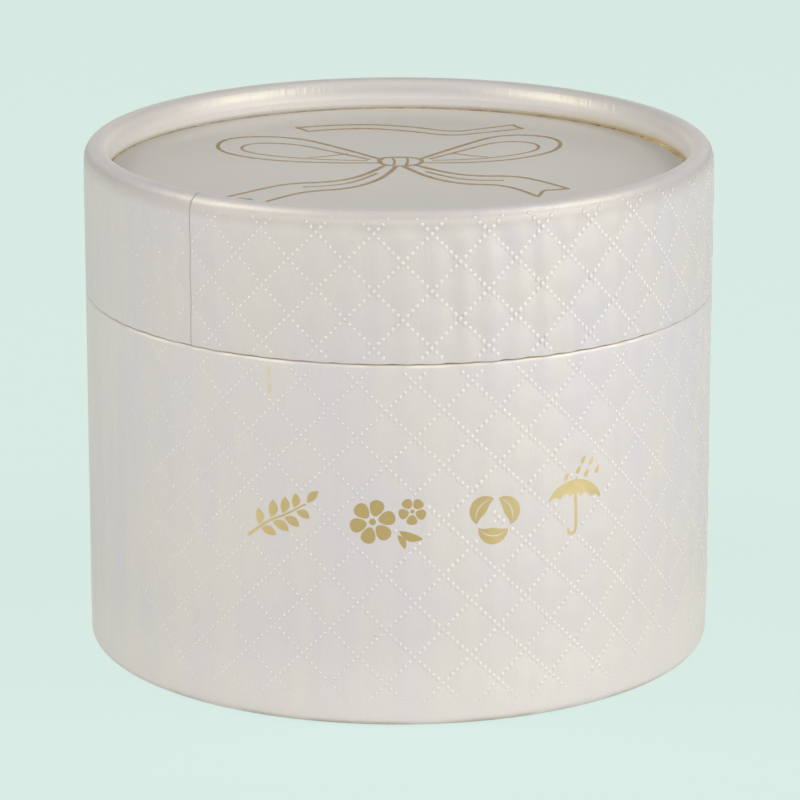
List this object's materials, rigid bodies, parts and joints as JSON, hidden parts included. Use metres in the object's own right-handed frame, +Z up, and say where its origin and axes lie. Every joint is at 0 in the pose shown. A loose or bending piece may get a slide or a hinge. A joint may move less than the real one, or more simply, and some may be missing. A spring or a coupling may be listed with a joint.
{
  "type": "cylindrical gift tube box",
  "caption": "Round gift tube with a lift-off lid over an inner neck, rolled rims, recessed end discs, quilted paper wrap, and a lift-out insert with a watch cushion.",
  "frame": {"origin": "centre of the foot, on the surface that the box stands on", "axes": "+Z up along the tube's axis, -Y to the front, where the umbrella mark and its row are"},
  "size_m": [0.1, 0.1, 0.081],
  "materials": {
    "embossed_paper": "pearl",
    "smooth_pearl_paper": "pearl",
    "grey_board": "matte",
    "lining_paper": "matte",
    "well_card": "matte",
    "velvet": "velvet",
    "cushion_cloth": "velvet",
    "ribbon": "satin"
  },
  "bodies": {
    "base": {"base_tube": "grey_board", "base_wrap": "embossed_paper", "base_disc": "grey_board", "base_disc_face": "lining_paper", "floor_lining": "lining_paper", "neck_tube": "grey_board", "neck_wrap": "lining_paper", "neck_lining": "lining_paper"},
    "lid": {"lid_tube": "grey_board", "lid_wrap": "embossed_paper", "lid_disc": "grey_board", "lid_disc_face": "smooth_pearl_paper", "lid_ceiling": "lining_paper"},
    "tray": {"tray_ring": "grey_board", "tray_board": "grey_board", "tray_face": "velvet", "tray_well": "well_card", "tray_ribbon": "ribbon"},
    "pillow": {"watch_pillow": "cushion_cloth"}
  },
  "joints": [
    {"name": "lid_lift", "type": "slide", "parent": "base", "child": "lid", "axis": [0, 0, 1], "range_m": [0, 0.16]},
    {"name": "tray_lift", "type": "slide", "parent": "base", "child": "tray", "axis": [0, 0, 1], "range_m": [0, 0.08]},
    {"name": "pillow_lift", "type": "slide", "parent": "tray", "child": "pillow", "axis": [0, 0, 1], "range_m": [0, 0.04]}
  ],
  "couplings": [
    {"joint": "tray_lift", "follows": "lid_lift", "ratio": 0.5},
    {"joint": "pillow_lift", "follows": "lid_lift", "ratio": 0.25}
  ]
}
